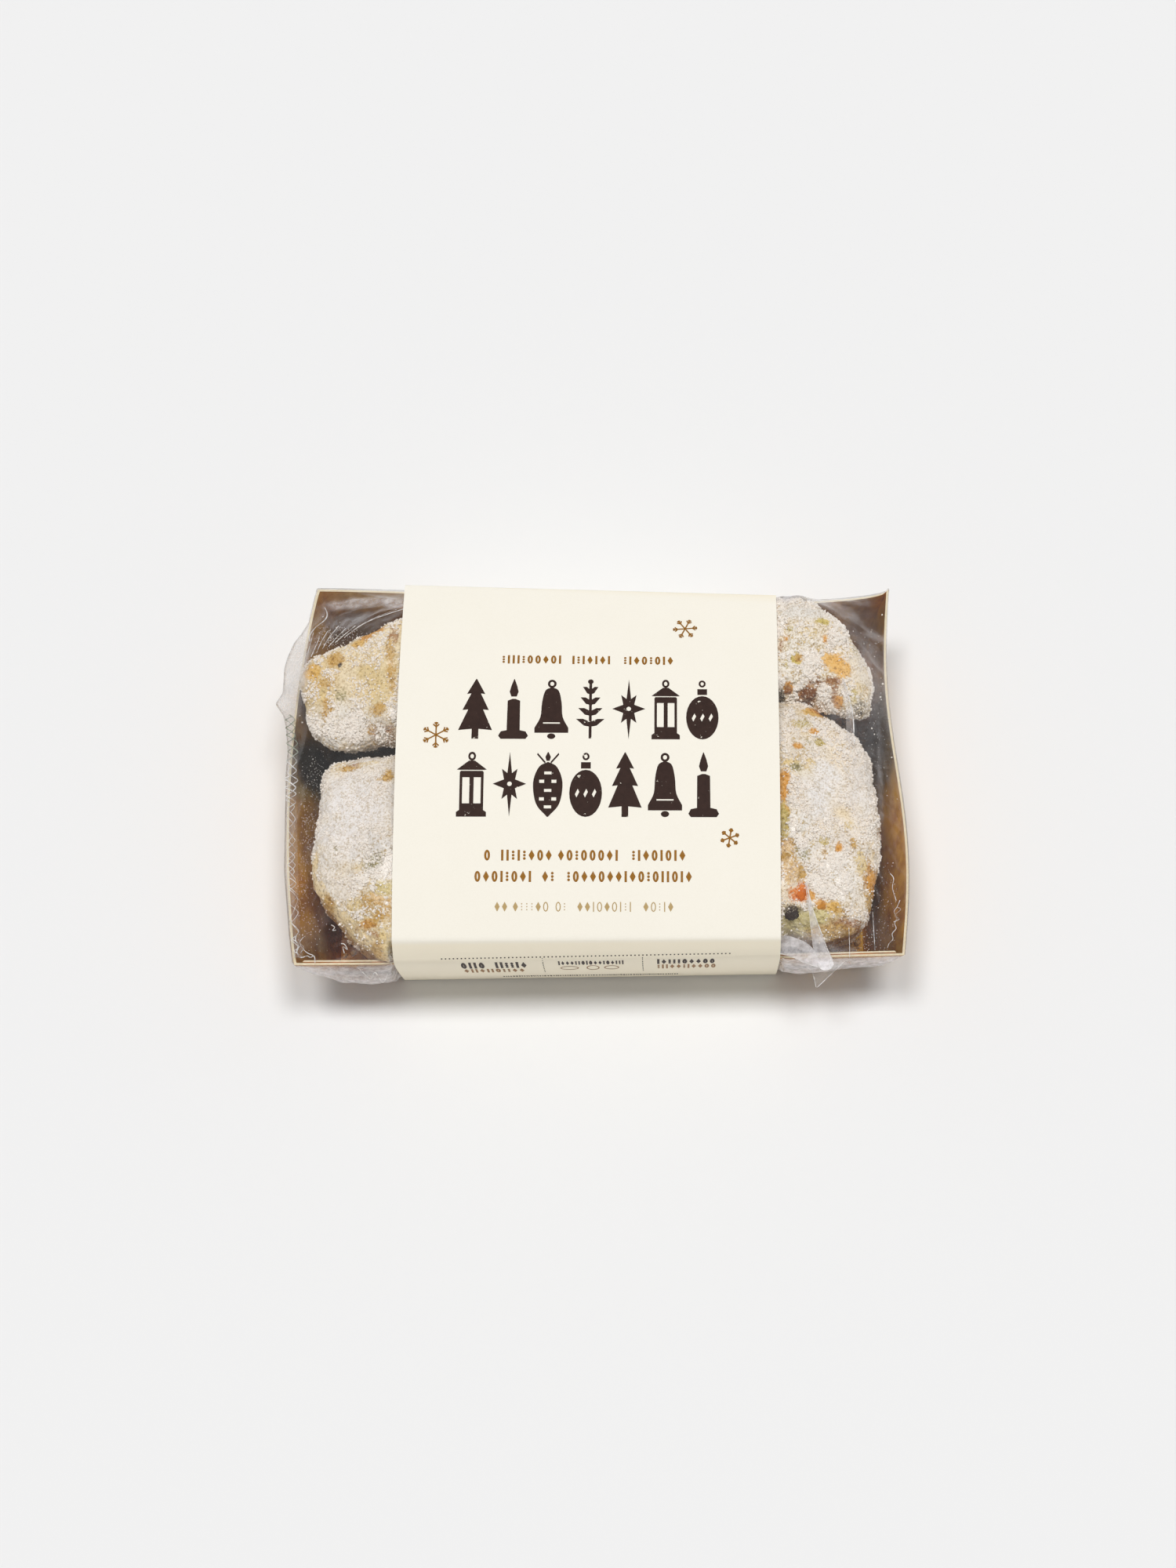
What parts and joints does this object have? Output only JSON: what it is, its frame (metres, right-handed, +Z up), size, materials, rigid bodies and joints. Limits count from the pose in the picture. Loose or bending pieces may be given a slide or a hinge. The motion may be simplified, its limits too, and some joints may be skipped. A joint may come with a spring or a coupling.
{
  "type": "pack of stollen bites",
  "caption": "Shut retail pack of sugar-dusted stollen bites in a flared gold card tray, in clear film, with a cream card sleeve round its middle.",
  "frame": {"origin": "middle of the pack's box, on the surface that it rests on", "axes": "+X along the pack to the right as seen from its front, -Y towards its front, +Z up"},
  "size_m": [0.187, 0.1217, 0.0535],
  "materials": {
    "tray_card": "satin gold-coated card with cream cut edges",
    "sleeve_card": "smooth cream card with brown and gold print",
    "clear_film": "clear crinkled film",
    "stollen": "golden crumb under a coat of sugar, with fruit and peel"
  },
  "bodies": {
    "root": {"tray": "tray_card", "bite_front_1": "stollen", "bite_front_2": "stollen", "bite_front_3": "stollen", "bite_front_4": "stollen", "bite_back_1": "stollen", "bite_back_2": "stollen", "bite_back_3": "stollen", "bite_back_4": "stollen", "film_bag": "clear_film", "sleeve": "sleeve_card"}
  },
  "joints": []
}
